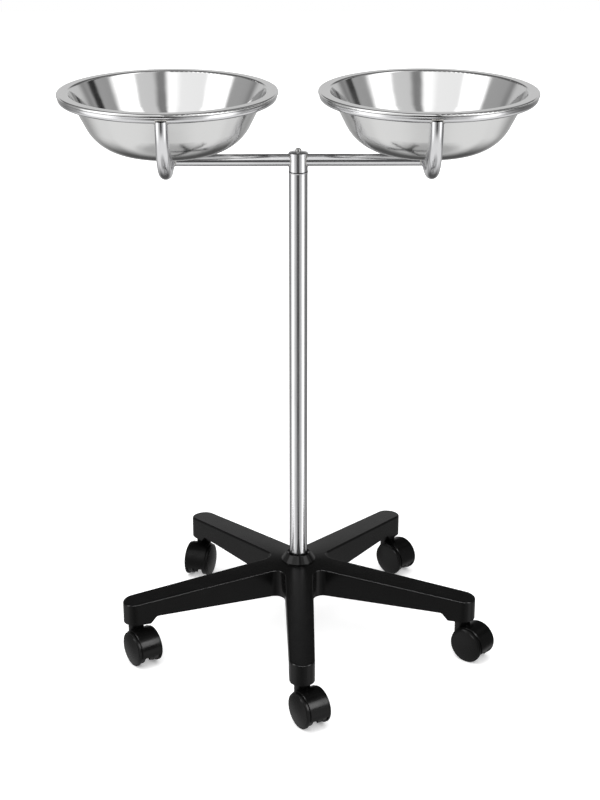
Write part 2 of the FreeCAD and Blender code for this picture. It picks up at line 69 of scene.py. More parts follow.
SIDES = ("left", "right")
axis = middle("column")
column_radius = extent("column").x / 2
basin_centre = {side: middle(f"basin_{side}") for side in SIDES}
rim_radius = extent("basin_left").x / 2
bar_radius = extent("ring_left").z / 2
ring_radius = extent("ring_left").x / 2 - bar_radius
ring_height = middle("ring_left").z
yoke_radius = extent("yoke_left").x / 2
crossbar_radius = extent("crossbar_left").z / 2
crossbar_height = middle("crossbar_left").z
print(f"column {2000 * column_radius:.1f} mm thick, basins {2000 * rim_radius:.0f} mm across")

# %% [markdown]
# ## Camera
# The picture is taken from a little over the basins, two and a half metres in front of
# the column, with a lens long enough to keep the two rims nearly equal. A camera can be
# aimed by a constraint that tracks an object. Here two angles turn it, because it stands
# a touch to the left and looks back by about half a degree, not straight at the column.

# %% Camera
VIEW_FROM = Vector((-0.024, -2.5305, 1.4125))  # from the foot of the column's axis
LOOK_RIGHT = 0.0105                            # radians from straight ahead
LOOK_DOWN = 0.3807                             # radians below level
FOCAL_PIXELS = 1767.0                          # focal length, in pixels of the picture
LONG_SIDE_PIXELS = 800.0
SENSOR = 36.0                                  # millimetres along the picture's long side

camera_data = bpy.data.cameras.new("camera")
camera_data.sensor_width = SENSOR
camera_data.lens = FOCAL_PIXELS / LONG_SIDE_PIXELS * SENSOR
camera = bpy.data.objects.new("camera", camera_data)
camera.location = Vector((axis.x, axis.y, 0)) + VIEW_FROM
camera.rotation_euler = (math.pi / 2 - LOOK_DOWN, 0, -LOOK_RIGHT)
bpy.context.scene.collection.objects.link(camera)
bpy.context.scene.camera = camera
bpy.context.scene.view_settings.view_transform = "Standard"
print(f"camera with a {camera_data.lens:.1f} mm lens")

# %% [markdown]
# ## Shader helpers
# A finish is a small network of nodes. It could be wired by hand in the shader editor,
# but a script can make the same network again for each tube and keeps it readable. The
# first class makes nodes and fills their sockets. The second adds the steps from which
# finishes are built: arithmetic, smooth ranges, mixing, noise and places on the object.

# %% Nodes and their sockets


class Network:
    """The nodes of a material or of the world, emptied and ready to be filled."""

    def __init__(self, owner):
        owner.use_nodes = True
        self.owner = owner
        self.tree = owner.node_tree
        self.tree.nodes.clear()

    def put(self, socket, value):
        """Links a socket to a node's output, or sets it to a plain value."""
        if isinstance(value, bpy.types.NodeSocket):
            self.tree.links.new(value, socket)
        else:
            socket.default_value = value

    def node(self, kind, settings=None, **inputs):
        """New node; settings are its own options, inputs fill sockets by name or link them."""
        made = self.tree.nodes.new(kind)
        for option, value in (settings or {}).items():
            setattr(made, option, value)
        for name, value in inputs.items():
            self.put(made.inputs[name.replace("_", " ")], value)
        return made


print("nodes can be made and linked")

# %% Steps that finishes are built from
CREVICE_RAYS = 6
CREVICE_SHARES = (0.10, 0.70)  # share of rays that get away: in a corner, and nearly in the open


class Finish(Network):
    """A network with short calls for the steps that every finish uses."""

    def math(self, operation, a, b=0.0, c=0.0):
        """One arithmetic step on numbers or sockets."""
        made = self.node("ShaderNodeMath", {"operation": operation})
        for socket, value in zip(made.inputs, (a, b, c)):
            self.put(socket, value)
        return made.outputs[0]

    def span(self, value, low, high, to_low=0.0, to_high=1.0):
        """Maps low..high of a socket smoothly on to_low..to_high and holds it outside."""
        made = self.node("ShaderNodeMapRange", {"interpolation_type": "SMOOTHSTEP"})
        for name, number in (("Value", value), ("From Min", low), ("From Max", high),
                             ("To Min", to_low), ("To Max", to_high)):
            self.put(made.inputs[name], number)
        return made.outputs["Result"]

    def mix(self, share, a, b):
        """Colour a where share is 0, colour b where it is 1."""
        made = self.node("ShaderNodeMix", {"data_type": "RGBA"})
        colour_inputs = [socket for socket in made.inputs if socket.type == "RGBA"]
        self.put(made.inputs[0], share)
        self.put(colour_inputs[0], a)
        self.put(colour_inputs[1], b)
        return [socket for socket in made.outputs if socket.type == "RGBA"][0]

    def noise(self, vector, scale, detail, roughness):
        """Soft random field, about 0.5 on average; detail and roughness make it finer."""
        made = self.node("ShaderNodeTexNoise", Vector=vector, Scale=scale, Detail=detail,
                         Roughness=roughness)
        return made.outputs["Fac"]

    def combine(self, x, y, z):
        """Vector from three numbers or sockets."""
        return self.node("ShaderNodeCombineXYZ", X=x, Y=y, Z=z).outputs[0]

    def parts(self, vector):
        """The x, y and z of a vector, as three sockets."""
        return tuple(self.node("ShaderNodeSeparateXYZ", Vector=vector).outputs)

    def place(self, origin=(0, 0, 0)):
        """Object coordinates, counted from an origin."""
        coordinates = self.node("ShaderNodeTexCoord").outputs["Object"]
        mapping = self.node("ShaderNodeMapping", {"vector_type": "TEXTURE"}, Vector=coordinates,
                            Location=origin)
        return mapping.outputs[0]

    def crevice(self, reach):
        """Near 0 deep in a corner or narrow gap, 1 where nothing stands within reach.

        Ambient occlusion sends short rays outward and gives the share that gets away.
        """
        made = self.node("ShaderNodeAmbientOcclusion", {"samples": CREVICE_RAYS}, Distance=reach)
        return self.span(made.outputs["AO"], *CREVICE_SHARES)


def grey(value):
    """Neutral opaque colour."""
    return (value, value, value, 1.0)


print("steps for finishes ready")

# %% [markdown]
# ## What the steel sees
# Polished steel has little look of its own: it shows the room. Round a real set stand
# tall soft boxes, dark screens and a white sweep, and each becomes a band along a tube.
# They could be built as glowing sheets; a world shader does it without any geometry, by
# giving each direction round the stand a brightness. Bright and dark stretches take
# turns, with a tall soft box left and right of the camera, because a tube in an
# all-white room would be a flat white strip.

# %% Brightness round the horizon
# Rows of azimuth in degrees and brightness: azimuth 0 is the way to the camera, +90 the
# right-hand side, 180 behind the stand. One list holds over the horizon, one under it.
UPPER_BANDS = (
    (-180, 0.12), (-140, 0.12), (-118, 0.38), (-92, 0.40), (-86, 1.60), (-58, 1.80),
    (-51, 1.00), (-18, 1.02), (-8, 1.30), (2, 1.30), (8, 0.24), (17, 0.24),
    (24, 0.68), (46, 0.70), (52, 1.70), (76, 1.70), (86, 0.34), (104, 0.40),
    (107, 0.02), (115, 0.02), (119, 0.42), (140, 0.12), (180, 0.12),
)
LOWER_BANDS = (
    (-180, 0.60), (-155, 0.48), (-128, 0.22), (-116, 0.34), (-100, 0.46), (-90, 1.50),
    (-62, 1.80), (-46, 0.85), (-24, 0.50), (-13, 0.09), (9, 0.07), (17, 0.55),
    (40, 0.72), (48, 1.80), (72, 1.70), (84, 0.42), (104, 0.20), (128, 0.20),
    (155, 0.48), (180, 0.60),
)
RAMP_TOP = 2.0  # brightness at the white end of a ramp


def level(brightness):
    """Grey that stands for a brightness, as a share of the ramps' top."""
    return grey(brightness / RAMP_TOP)


def band_ramp(finish, share, bands):
    """Colour ramp with one stop for each band's edge.

    A stop's position is its azimuth and half a turn together, over a whole turn.
    """
    ramp = finish.node("ShaderNodeValToRGB", Fac=share)
    stops = ramp.color_ramp.elements
    while len(stops) < len(bands):
        stops.new(0.5)
    for stop, (azimuth, brightness) in zip(stops, bands):
        stop.position = (azimuth + 180) / 360
        stop.color = level(brightness)
    return ramp.outputs["Color"]


print("studio bands:", len(UPPER_BANDS), "above and", len(LOWER_BANDS), "below the horizon")

# %% Bands for every direction
UPPER_STARTS = (0.14, 0.40)  # upward part of a ray, over which the upper list takes over

sky = Finish(bpy.data.worlds.new("white_studio"))
bpy.context.scene.world = sky.owner
rightward, backward, upward = sky.parts(sky.node("ShaderNodeTexCoord").outputs["Generated"])
forward = sky.math("MULTIPLY", backward, -1.0)
sideways = sky.math("ABSOLUTE", rightward)
azimuth = sky.math("ARCTAN2", rightward, forward)
turn_share = sky.math("MULTIPLY_ADD", azimuth, 1 / (2 * math.pi), 0.5)
upper = band_ramp(sky, turn_share, UPPER_BANDS)
lower = band_ramp(sky, turn_share, LOWER_BANDS)
studio = sky.mix(sky.span(upward, *UPPER_STARTS), lower, upper)
print("bands cover the whole horizon")

# %% [markdown]
# Over and under the bands the studio has a dim ceiling and a ground. The bowls' outside
# mirrors the ground, so the ground is bright toward the camera and dark behind the stand.
# A low wall of light at the back is what the flat rims of the basins mirror.

# %% Ceiling, ground and back wall
# Each pair says where one part of the studio runs into the next. Upward is 1 for a ray
# that goes straight up and -1 straight down; forward is 1 for a ray straight at the
# camera, and sideways is 1 for a ray straight to the left or right.
CEILING_UPWARD = (0.90, 0.965)
CEILING_LEVEL = 0.29
GROUND_UPWARD = (-0.36, -0.64)
GROUND_FRONT, GROUND_BACK = 1.0, 0.10
FRONT_FORWARD = (-0.62, -0.12)
FRONT_SIDEWAYS = (0.25, 0.75)
UNDERFOOT_UPWARD = (-0.88, -0.97)
UNDERFOOT_LEVEL = 0.54
WALL_FORWARD = (-0.55, -0.75)
WALL_FOOT_UPWARD = (0.0, 0.06)
WALL_TOP_UPWARD = (0.36, 0.24)
WALL_LEVEL = 0.62

studio = sky.mix(sky.span(upward, *CEILING_UPWARD), studio, level(CEILING_LEVEL))
front_share = sky.math("MAXIMUM", sky.span(forward, *FRONT_FORWARD),
                       sky.span(sideways, *FRONT_SIDEWAYS))
ground = sky.mix(front_share, level(GROUND_BACK), level(GROUND_FRONT))
ground = sky.mix(sky.span(upward, *UNDERFOOT_UPWARD), ground, level(UNDERFOOT_LEVEL))
studio = sky.mix(sky.span(upward, *GROUND_UPWARD), studio, ground)
wall_band = sky.math("MULTIPLY", sky.span(upward, *WALL_FOOT_UPWARD),
                     sky.span(upward, *WALL_TOP_UPWARD))
wall_share = sky.math("MULTIPLY", sky.span(forward, *WALL_FORWARD), wall_band)
studio = sky.mix(wall_share, studio, level(WALL_LEVEL))
print("ceiling", CEILING_LEVEL, "and back wall", WALL_LEVEL, "bright")

# %% [markdown]
# ## White to the camera, soft light for the rest
# A product picture has a pure white background, but light that strong from all round
# would wash the stand out. Light Path tells the rays apart: the camera and clear things
# see plain white, mirror rays see the studio, and all other rays get an even, weaker
# light. A white card behind the stand could do it too, but it would show in the steel.

# %% World light
SKY_LIGHT = 0.62
rays = sky.node("ShaderNodeLightPath").outputs
sees_white = sky.math("MAXIMUM", rays["Is Camera Ray"], rays["Is Transmission Ray"])
even = sky.node("ShaderNodeBackground", Color=grey(1.0), Strength=SKY_LIGHT)
mirrored = sky.node("ShaderNodeBackground", Color=studio, Strength=RAMP_TOP)
white = sky.node("ShaderNodeBackground", Color=grey(1.0), Strength=1.0)
unseen = sky.node("ShaderNodeMixShader", Fac=rays["Is Glossy Ray"])
sky.put(unseen.inputs[1], even.outputs[0])
sky.put(unseen.inputs[2], mirrored.outputs[0])
seen = sky.node("ShaderNodeMixShader", Fac=sees_white)
sky.put(seen.inputs[1], unseen.outputs[0])
sky.put(seen.inputs[2], white.outputs[0])
sky.node("ShaderNodeOutputWorld", Surface=seen.outputs[0])
print("sky light", SKY_LIGHT)

# %% [markdown]
# ## Floor
# The stand is photographed on a white sweep of paper, with soft shadows under the
# castors. A plain white floor would turn grey, since it gets less light than the camera's
# white. So the paper glows to the camera: near the stand it glows less, which leaves the
# shadows, and far out it glows fully and runs into the white without a line. Mirror rays
# pass through it to the studio's own ground.

# %% Floor sheet
FLOOR_HALF = 6.0


def sheet_mesh(name, corners):
    """One four-cornered face through the given points, as an object in the scene."""
    mesh = bpy.data.meshes.new(name)
    mesh.from_pydata(corners, [], [tuple(range(len(corners)))])
    made = bpy.data.objects.new(name, mesh)
    bpy.context.scene.collection.objects.link(made)
    return made


floor = sheet_mesh("floor", [(-FLOOR_HALF, -FLOOR_HALF, 0), (FLOOR_HALF, -FLOOR_HALF, 0),
                             (FLOOR_HALF, FLOOR_HALF, 0), (-FLOOR_HALF, FLOOR_HALF, 0)])
floor.visible_glossy = False
print("floor", 2 * FLOOR_HALF, "m wide")

# %% Paper that glows to the camera
PAPER_GREY = 0.86
GLOW_NEAR, GLOW_FAR = 0.60, 1.0
GLOW_STARTS, GLOW_FULL = 0.55, 2.4  # distances from the column over which the glow grows
PAINTED_SHADOW_REACH = 0.035  # this close to a wheel the glow fades, which paints a firm contact shadow
GLOW_IN_PAINTED_SHADOW = 0.30

paper = Finish(bpy.data.materials.new("floor_paper"))
away = paper.node("ShaderNodeVectorMath", {"operation": "LENGTH"})
paper.put(away.inputs[0], paper.place((axis.x, axis.y, 0)))
growth = paper.span(away.outputs["Value"], GLOW_STARTS, GLOW_FULL, GLOW_NEAR, GLOW_FAR)
# Painted contact shadow: near a wheel, occlusion dims the floor's glow.
painted_shadow_factor = paper.math("MULTIPLY_ADD", paper.crevice(PAINTED_SHADOW_REACH), 1 - GLOW_IN_PAINTED_SHADOW,
                        GLOW_IN_PAINTED_SHADOW)
camera_ray = paper.node("ShaderNodeLightPath").outputs["Is Camera Ray"]
glow = paper.math("MULTIPLY", camera_ray, paper.math("MULTIPLY", growth, painted_shadow_factor))
matt = paper.node("ShaderNodeBsdfDiffuse", Color=grey(PAPER_GREY))
lit = paper.node("ShaderNodeEmission", Color=grey(1.0), Strength=glow)
both = paper.node("ShaderNodeAddShader")
paper.put(both.inputs[0], matt.outputs[0])
paper.put(both.inputs[1], lit.outputs[0])
paper.node("ShaderNodeOutputMaterial", Surface=both.outputs[0])
floor.data.materials.append(paper.owner)
print("paper glows from", GLOW_NEAR, "to", GLOW_FAR)

# %% [markdown]
# ## Lamps
# Light from all round alone has no direction and would leave hardly a shadow under the
# castors. Three large soft boxes, one overhead and one at each side, give the main light.
# A sun lamp would be simpler, but its shadows are hard. The boxes are hidden from mirror
# rays, because the studio already shows the steel its own soft boxes.

# %% Soft boxes
LAMP_AIM = (0.0, 0.0, 0.35)
SOFT_BOXES = (  # name, place, side length in metres, watts
    ("top_box", (-0.6, -0.4, 3.2), 2.2, 42),
    ("left_box", (-2.4, -2.0, 1.7), 1.6, 26),
    ("right_box", (2.5, -1.4, 1.5), 1.6, 16),
)


def soft_box(name, place, aim, size, watts):
    """Square area lamp at a place, turned to face an aim point."""
    data = bpy.data.lights.new(name, "AREA")
    data.size = size
    data.energy = watts
    lamp = bpy.data.objects.new(name, data)
    lamp.location = place
    lamp.rotation_euler = (Vector(aim) - Vector(place)).to_track_quat("-Z", "Y").to_euler()
    bpy.context.scene.collection.objects.link(lamp)
    lamp.visible_glossy = False
    return lamp


for name, place, size, watts in SOFT_BOXES:
    soft_box(name, place, LAMP_AIM, size, watts)
print(len(SOFT_BOXES), "soft boxes")

# %% [markdown]
# ## Strip lights for the black parts
# Black plastic shows its shape by the bright lines on its rounded edges, and those lines
# are mirror images of strip lights. The studio could hold them, but then they would lie
# across the steel as well. So these are lamps that are linked to the black parts alone
# and give no plain light: the steel and the floor stay as they are.

# %% A strip light
STRIP_DISTANCE = 3.0
STRIP_AIM = Vector((axis.x, axis.y, 0.1))


def strip_light(name, azimuth, elevation, width, height, brightness, receivers):
    """Strip seen only in the gloss of its receivers.

    A flat lamp that looks equally bright from everywhere gives pi times its brightness
    times its area in watts.
    """
    turn, lift = math.radians(azimuth), math.radians(elevation)
    outward = Vector((math.sin(turn) * math.cos(lift), -math.cos(turn) * math.cos(lift),
                      math.sin(lift)))
    watts = math.pi * brightness * width * height
    lamp = soft_box(name, STRIP_AIM + STRIP_DISTANCE * outward, STRIP_AIM, width, watts)
    lamp.data.shape = "RECTANGLE"
    lamp.data.size_y = height
    lamp.visible_glossy = True
    lamp.visible_diffuse = False
    lamp.light_linking.receiver_collection = receivers


print("strips stand", STRIP_DISTANCE, "m away")

# %% Strips for the base and for the castors
SIDE_SHARE = 0.72  # the side strips are a little duller than the front one
STRIPS = (  # name, azimuth and elevation in degrees, width, height, share of the brightness
    ("front_strip", 0, 44, 2.4, 0.5, 1.0),
    ("left_strip", -72, 32, 0.6, 1.6, SIDE_SHARE),
    ("right_strip", 62, 32, 0.6, 1.6, SIDE_SHARE),
)
BLACK_FAMILIES = (  # name, how its nodes' names start, brightness of its strips
    ("base", ("base_star",), 32.0),
    ("castor", ("castor_body_", "wheel_"), 22.0),
)

for family, starts, brightness in BLACK_FAMILIES:
    black_parts = bpy.data.collections.new(f"black_{family}")
    for node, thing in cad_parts.items():
        if node.startswith(starts):
            black_parts.objects.link(thing)
    for name, azimuth, elevation, width, height, share in STRIPS:
        strip_light(f"{family}_{name}", azimuth, elevation, width, height,
                    brightness * share, black_parts)

# %% [markdown]
# ## Stainless tube
# The tubes are drawn and then polished along their length. What the eye reads as steel is
# the reflection, broken up by very fine lines that all run the same way. An anisotropic
# shader could stretch the reflection, but it shows no lines close up. A noise field that
# changes quickly across the tube and hardly at all along it gives such lines, so each
# tube needs two coordinates that cross its line: x and y for the column, y and z for a
# crossbar, and for a bent yoke its sideways place and the distance from its bend.

# %% Metal, with painted shade in its corners
PAINTED_SHADE_REACH = 0.006     # painted shade darkens the last millimetres of a corner
PAINTED_SHADE_LEVEL = 0.10


def metal(finish, colour, roughness, normal):
    """Bare metal with painted shade in its corners, as the finish's surface."""
    # Painted shade: ambient occlusion darkens the colour in corners and in gaps between parts.
    tone = finish.mix(finish.crevice(PAINTED_SHADE_REACH), grey(PAINTED_SHADE_LEVEL), colour)
    shader = finish.node("ShaderNodeBsdfPrincipled", Base_Color=tone, Metallic=1.0,
                         Roughness=roughness, Normal=normal)
    finish.node("ShaderNodeOutputMaterial", Surface=shader.outputs[0])


print(f"corners darken over {1000 * PAINTED_SHADE_REACH:.0f} mm")

# %% Steel with lines along the tube
LINE_SCALE = 900.0
RUN_SHARE = 0.012         # how much slower the noise changes along the tube than across
SMUDGE_SCALE = 14.0
LINE_SHARE = 0.65         # of the roughness comes from the lines, the rest from smudges
DULL_SPAN = (0.30, 0.70)
SMUDGE_SPAN = (0.35, 0.75)
SMUDGE_TONE = 0.93
FINE_RELIEF = 0.0002      # metres between the lowest and the highest place of a bump
TUBE_COLOUR = (0.70, 0.70, 0.71, 1.0)


def steel(name, across, along, colour=TUBE_COLOUR, roughness=(0.10, 0.24), relief=0.05):
    """Polished steel whose lines follow a tube.

    From x, y and z, across gives two coordinates that cross the tube and along gives the
    one that follows it. Roughness lies between the two given values.
    """
    finish = Finish(bpy.data.materials.new(name))
    position = finish.place()
    x, y, z = finish.parts(position)
    first, second = across(finish, x, y, z)
    slow_run = finish.math("MULTIPLY", along(finish, x, y, z), RUN_SHARE)
    stretched = finish.combine(first, second, slow_run)
    lines = finish.noise(stretched, LINE_SCALE, detail=4.0, roughness=0.6)
    smudges = finish.noise(position, SMUDGE_SCALE, detail=3.0, roughness=0.55)
    dull = finish.math("ADD", finish.math("MULTIPLY", lines, LINE_SHARE),
                       finish.math("MULTIPLY", smudges, 1 - LINE_SHARE))
    smudged = tuple(channel * SMUDGE_TONE for channel in colour[:3]) + (1.0,)
    tone = finish.mix(finish.span(smudges, *SMUDGE_SPAN), colour, smudged)
    bump = finish.node("ShaderNodeBump", Height=lines, Strength=relief, Distance=FINE_RELIEF)
    metal(finish, tone, finish.span(dull, *DULL_SPAN, *roughness), bump.outputs[0])
    return finish.owner


print("steel can be made for any tube")

# %% Column and crossbars


def upright_cross(finish, x, y, z):
    """An upright tube is crossed by x and y."""
    return x, y


def level_cross(finish, x, y, z):
    """A tube along x is crossed by y and z."""
    return y, z


def take_x(finish, x, y, z):
    """The tube's own direction is x."""
    return x


def take_z(finish, x, y, z):
    """The tube's own direction is z."""
    return z


column_steel = steel("column_steel", upright_cross, take_z)
crossbar_steel = steel("crossbar_steel", level_cross, take_x)
print("column and crossbar steel ready")

# %% [markdown]
# A yoke comes down, bends, runs level under its bowl and goes up again, so no straight
# coordinates follow it. Its lines need a distance that stays the same all the way along,
# and for that the radius of the bends has to be known. It could be typed in; here it is
# measured on the mesh.

# %% Bends of the yokes
OUTERMOST = 0.0001        # metres within which a point counts as being farthest out


def bend_radius(node):
    """Radius of a yoke's bends: how far over its level run its straight legs begin.

    Only the straight legs reach the outermost places along y, so the lowest point that
    lies that far out is where a leg begins.
    """
    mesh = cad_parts[node].data
    points = np.empty(len(mesh.vertices) * 3)
    mesh.vertices.foreach_get("co", points)
    points = points.reshape(-1, 3)
    outward = np.abs(points[:, 1] - axis.y)
    leg = points[outward > outward.max() - OUTERMOST]
    return float(leg[:, 2].min()) - crossbar_height


yoke_bend = bend_radius("yoke_left")
print(f"yokes are bent to {1000 * yoke_bend:.0f} mm")

# %% Yokes


def root_of_squares(finish, a, b):
    """Length whose two square parts are a and b: the root of a squared and b squared."""
    squares = finish.math("ADD", finish.math("MULTIPLY", a, a), finish.math("MULTIPLY", b, b))
    return finish.math("SQRT", squares)


def bend_cross(finish, x, y, z):
    """A yoke is crossed by x and by the distance from the middle of its bends.

    That distance is the length of what is left of |y| past the bend's middle and of the
    depth below it, so it is the same all along legs, bends and the run between them.
    """
    bend_height = crossbar_height + yoke_bend
    forwards = finish.math("ABSOLUTE", finish.math("SUBTRACT", y, axis.y))
    out = finish.math("MAXIMUM", finish.math("SUBTRACT", forwards, ring_radius - yoke_bend), 0.0)
    down = finish.math("MAXIMUM", finish.math("SUBTRACT", bend_height, z), 0.0)
    return x, root_of_squares(finish, out, down)


yoke_steel = steel("yoke_steel", bend_cross, take_z)
print("yoke steel ready")

# %% [markdown]
# A ring closes on itself round its basin. Both rings can share one material, because the
# stand is the same on both sides: a place is measured from the nearer basin's middle.

# %% Rings


def ring_distance(finish, x, y):
    """Distance from the nearer basin's middle, the same for both sides of the stand."""
    reach = abs(basin_centre["right"].x - axis.x)
    from_axis = finish.math("ABSOLUTE", finish.math("SUBTRACT", x, axis.x))
    from_middle = finish.math("SUBTRACT", from_axis, reach)
    return root_of_squares(finish, from_middle, finish.math("SUBTRACT", y, axis.y))


def ring_cross(finish, x, y, z):
    """A ring is crossed by its distance from the middle and by z."""
    return ring_distance(finish, x, y), z


ring_steel = steel("ring_steel", ring_cross, take_x)
print("ring steel ready")

# %% [markdown]
# ## Spun basins
# A basin is spun from one disc and buffed inside to a mirror, while the outside keeps a
# softer satin. Two materials could be given to its faces, but they would meet in a hard
# line. Here one material does both: the surface's own normal points up inside and down
# outside, and that sets the roughness. The polishing tool leaves faint circles, so the
# fine noise depends on the distance from the middle. Thin sheet is never quite even, so a
# wide low bump bends the reflections a little.

# %% Basin roughness
INSIDE_ROUGHNESS = (0.07, 0.13)
OUTSIDE_ROUGHNESS = 0.12
CIRCLE_ROUGHNESS = 0.08   # what the circles add to it


def basin_roughness(finish, smudges, circles, outside):
    """Mirror where outside is 0, satin with circles where it is 1."""
    polish = finish.span(smudges, *SMUDGE_SPAN, *INSIDE_ROUGHNESS)
    satin = finish.math("ADD", finish.math("MULTIPLY", circles, CIRCLE_ROUGHNESS),
                        OUTSIDE_ROUGHNESS)
    inside = finish.math("SUBTRACT", 1.0, outside)
    return finish.math("ADD", finish.math("MULTIPLY", polish, inside),
                       finish.math("MULTIPLY", satin, outside))


print("basins: roughness", INSIDE_ROUGHNESS, "inside and from", OUTSIDE_ROUGHNESS, "outside")

# %% Basin relief
WAVE_SCALE = 38.0         # waves run round the bowl, as the spinning roller leaves them
WAVE_HEIGHT = 0.4
DENT_SCALE = 24.0         # dents lie anywhere
DENT_HEIGHT = 1.6
UNEVEN_RELIEF = 0.0012    # metres that a height of 1 stands for


def basin_normal(finish, position, round_place, circles):
    """Normal bent widely by waves and dents in the sheet, and finely by the circles."""
    waves = finish.noise(round_place, WAVE_SCALE, detail=1.0, roughness=0.4)
    dents = finish.noise(position, DENT_SCALE, detail=2.0, roughness=0.5)
    uneven = finish.math("ADD", finish.math("MULTIPLY", waves, WAVE_HEIGHT),
                         finish.math("MULTIPLY", dents, DENT_HEIGHT))
    wide = finish.node("ShaderNodeBump", Height=uneven, Strength=0.12, Distance=UNEVEN_RELIEF)
    fine = finish.node("ShaderNodeBump", Height=circles, Strength=0.03, Distance=FINE_RELIEF,
                       Normal=wide.outputs[0])
    return fine.outputs[0]


print("basins: waves at scale", WAVE_SCALE, "and dents at scale", DENT_SCALE)

# %% Basin finish
CIRCLE_SCALE = 700.0
BASIN_SMUDGE_SCALE = 9.0
FACING_SPAN = (0.05, -0.05)  # upward part of the normal, from the inside to the outside
INSIDE_COLOUR = grey(0.80)
OUTSIDE_COLOUR = (0.68, 0.68, 0.675, 1.0)


def basin_finish():
    """Mirror where the surface faces up, satin where it faces down, circles on both."""
    finish = Finish(bpy.data.materials.new("spun_basin"))
    position = finish.place()
    x, y, z = finish.parts(position)
    facing = finish.parts(finish.node("ShaderNodeTexCoord").outputs["Normal"])
    outside = finish.span(facing[2], *FACING_SPAN)
    round_place = finish.combine(ring_distance(finish, x, y), z, 0.0)
    circles = finish.noise(round_place, CIRCLE_SCALE, detail=4.0, roughness=0.6)
    smudges = finish.noise(position, BASIN_SMUDGE_SCALE, detail=4.0, roughness=0.55)
    metal(finish, finish.mix(outside, INSIDE_COLOUR, OUTSIDE_COLOUR),
          basin_roughness(finish, smudges, circles, outside),
          basin_normal(finish, position, round_place, circles))
    return finish.owner


spun_basin = basin_finish()
print("basin finish ready")

# %% [markdown]
# ## Black mouldings
# The base is glass-filled nylon with a fine spark-eroded texture: nearly black, softly
# shiny, a little lighter where hands and shoes have rubbed it. The castors and the collar
# are the same black in smoother moulds. One plain black would look like a drawing; noise
# in three places, in colour, roughness and bump, makes it a moulding.

# %% Moulded plastic
PLASTIC_IOR = 1.50
CLOUD_SCALE = 30.0
RUBBED_SPAN = (0.52, 0.78)
CLOUD_SPAN = (0.30, 0.72)
RUBBED_TONE = 1.5         # how many times lighter a rubbed patch is


def moulding(name, tone, roughness, texture_scale, relief, shine):
    """Black moulding: erosion texture as bump, cloudy roughness, lighter rubbed patches."""
    finish = Finish(bpy.data.materials.new(name))
    position = finish.place()
    grains = finish.noise(position, texture_scale, detail=3.0, roughness=0.65)
    clouds = finish.noise(position, CLOUD_SCALE, detail=4.0, roughness=0.6)
    rubbed = finish.span(clouds, *RUBBED_SPAN)
    bump = finish.node("ShaderNodeBump", Height=grains, Strength=relief, Distance=FINE_RELIEF)
    shader = finish.node("ShaderNodeBsdfPrincipled",
                         Base_Color=finish.mix(rubbed, grey(tone), grey(tone * RUBBED_TONE)),
                         Roughness=finish.span(clouds, *CLOUD_SPAN, *roughness),
                         Normal=bump.outputs[0], IOR=PLASTIC_IOR, Specular_IOR_Level=shine)
    finish.node("ShaderNodeOutputMaterial", Surface=shader.outputs[0])
    return finish.owner


base_black = moulding("base_black", 0.0028, (0.19, 0.25), 2200.0, 0.04, shine=0.13)
collar_black = moulding("collar_black", 0.0020, (0.10, 0.16), 900.0, 0.03, shine=0.34)
hood_black = moulding("hood_black", 0.0024, (0.20, 0.28), 260.0, 0.06, shine=0.11)
wheel_black = moulding("wheel_black", 0.0024, (0.22, 0.30), 1500.0, 0.04, shine=0.10)
print("four black finishes")

# %% [markdown]
# ## Bright plated steel
# Screws, stems, axles and the bolt are turned parts with a zinc finish, duller than the
# tubes. They show only at the cap and under the base, so each needs no network of its
# own: the tube's steel with a greyer colour and more roughness serves them all.

# %% Plated steel
plated_steel = steel("plated_steel", upright_cross, take_z, colour=(0.56, 0.56, 0.55, 1.0),
                     roughness=(0.22, 0.38), relief=0.12)
print("plated steel ready")

# %% [markdown]
# ## Giving each node its finish
# A node keeps its shape and only its material changes. A list of all the nodes would do,
# but a node's name says what it is, so a short list of name starts is enough, and the
# longest start that fits wins.

# %% Finishes on the nodes
FINISH_BY_START = {
    "base_star": base_black,
    "base_": plated_steel,
    "column": column_steel,
    "column_collar": collar_black,
    "column_foot_plug": plated_steel,
    "column_spigot": plated_steel,
    "head_": column_steel,
    "cap_screw": plated_steel,
    "crossbar_": crossbar_steel,
    "yoke_": yoke_steel,
    "ring_": ring_steel,
    "basin_": spun_basin,
    "stem_": plated_steel,
    "grip_ring_": plated_steel,
    "castor_axle_": plated_steel,
    "castor_body_": hood_black,
    "wheel_": wheel_black,
}


def dress(node, thing):
    """Makes the finish whose name start fits best a node's only material."""
    starts = [start for start in FINISH_BY_START if node.startswith(start)]
    thing.data.materials.clear()
    thing.data.materials.append(FINISH_BY_START[max(starts, key=len)])


for node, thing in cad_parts.items():
    dress(node, thing)
print("dressed", len(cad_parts), "nodes")

# %% [markdown]
# ## Weld beads
# Rings, yokes, crossbars and the head sleeve are welded, and each joint has a narrow bead
# with the fine ripples that the torch leaves. A bevel would need the two parts to be one
# mesh. But the line where two round bars meet has a formula, so the bead is a thin tube
# carried along that line, and its radius swells and shrinks a little as it goes round.

# %% New pieces from arrays


def new_piece(name, points, faces, material, body="root", slot="stainless_tube"):
    """Mesh from numpy arrays, smooth shaded, that rides on a body of the stand."""
    mesh = bpy.data.meshes.new(name)
    mesh.vertices.add(len(points))
    mesh.vertices.foreach_set("co", np.ascontiguousarray(points, np.float32).ravel())
    mesh.loops.add(faces.size)
    mesh.loops.foreach_set("vertex_index", faces.astype(np.int32).ravel())
    starts = np.arange(len(faces), dtype=np.int32) * faces.shape[1]
    mesh.polygons.add(len(faces))
    mesh.polygons.foreach_set("loop_start", starts)
    mesh.polygons.foreach_set("use_smooth", np.ones(len(faces), bool))
    mesh.update(calc_edges=True)
    mesh.validate()
    mesh.materials.append(material)
    made = bpy.data.objects.new(name, mesh)
    bpy.context.scene.collection.objects.link(made)
    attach(made, body)


print("arrays can become pieces")

# %% Tube along a closed line
SLOW_SWELL = 0.06         # share of the radius by which the bead swells in slow waves
SLOW_WAVES = 5


